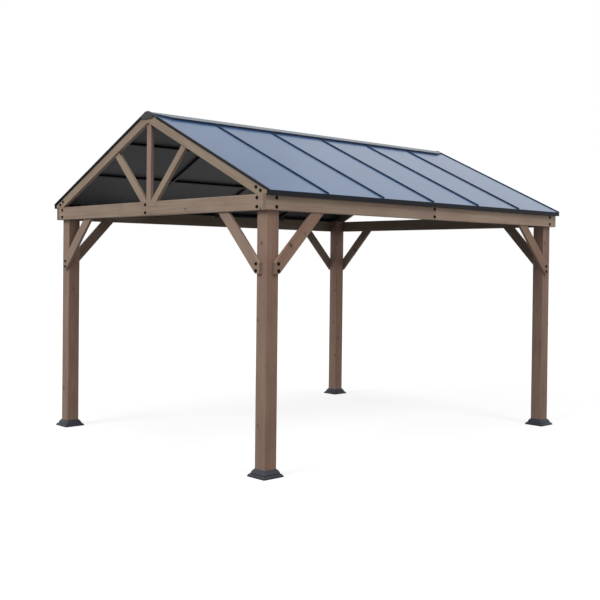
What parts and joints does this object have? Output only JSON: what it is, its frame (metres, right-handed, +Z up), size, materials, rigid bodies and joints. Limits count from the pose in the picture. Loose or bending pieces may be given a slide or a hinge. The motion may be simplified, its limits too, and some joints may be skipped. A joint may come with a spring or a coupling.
{
  "type": "hardtop gazebo",
  "caption": "Rectangular open timber gazebo with a pitched steel roof, open gable trusses, knee braces and square posts on moulded base covers.",
  "frame": {"origin": "on the ground, at the centre of the plan", "axes": "+Z up, +Y along the ridge, +X across it; the front gable faces -Y"},
  "size_m": [3.306, 4.012, 2.9902],
  "materials": {
    "timber": "stained, semi-matt",
    "roof_panel": "satin powder coat",
    "ridge_cap": "satin powder coat",
    "roof_trim": "satin powder coat",
    "roof_frame": "satin powder coat",
    "post_base": "textured powder coat"
  },
  "bodies": {
    "root": {"post_front_right": "timber", "post_front_left": "timber", "post_back_right": "timber", "post_back_left": "timber", "post_base_front_right": "post_base", "post_base_front_left": "post_base", "post_base_back_right": "post_base", "post_base_back_left": "post_base", "tie_beam_front_right": "timber", "tie_beam_front_left": "timber", "tie_beam_back_right": "timber", "tie_beam_back_left": "timber", "side_beam_front_right": "timber", "side_beam_front_left": "timber", "side_beam_back_right": "timber", "side_beam_back_left": "timber", "gable_brace_front_right": "timber", "gable_brace_front_left": "timber", "gable_brace_back_right": "timber", "gable_brace_back_left": "timber", "side_brace_front_right": "timber", "side_brace_front_left": "timber", "side_brace_back_right": "timber", "side_brace_back_left": "timber", "gable_rafter_front_right": "timber", "gable_rafter_front_left": "timber", "gable_rafter_back_right": "timber", "gable_rafter_back_left": "timber", "king_post_front": "timber", "king_post_back": "timber", "struts_front": "timber", "struts_back": "timber", "ridge_tube": "roof_frame", "steel_rafters_right": "roof_frame", "steel_rafters_left": "roof_frame", "purlins_right": "roof_frame", "purlins_left": "roof_frame", "roof_panels_right": "roof_panel", "roof_panels_left": "roof_panel", "seam_ribs_right": "roof_trim", "seam_ribs_left": "roof_trim", "eave_trim_right": "roof_trim", "eave_trim_left": "roof_trim", "rake_trim_front": "roof_trim", "rake_trim_back": "roof_trim", "ridge_cap": "ridge_cap", "ridge_end_plate_front": "ridge_cap", "ridge_end_plate_back": "ridge_cap"}
  },
  "joints": []
}
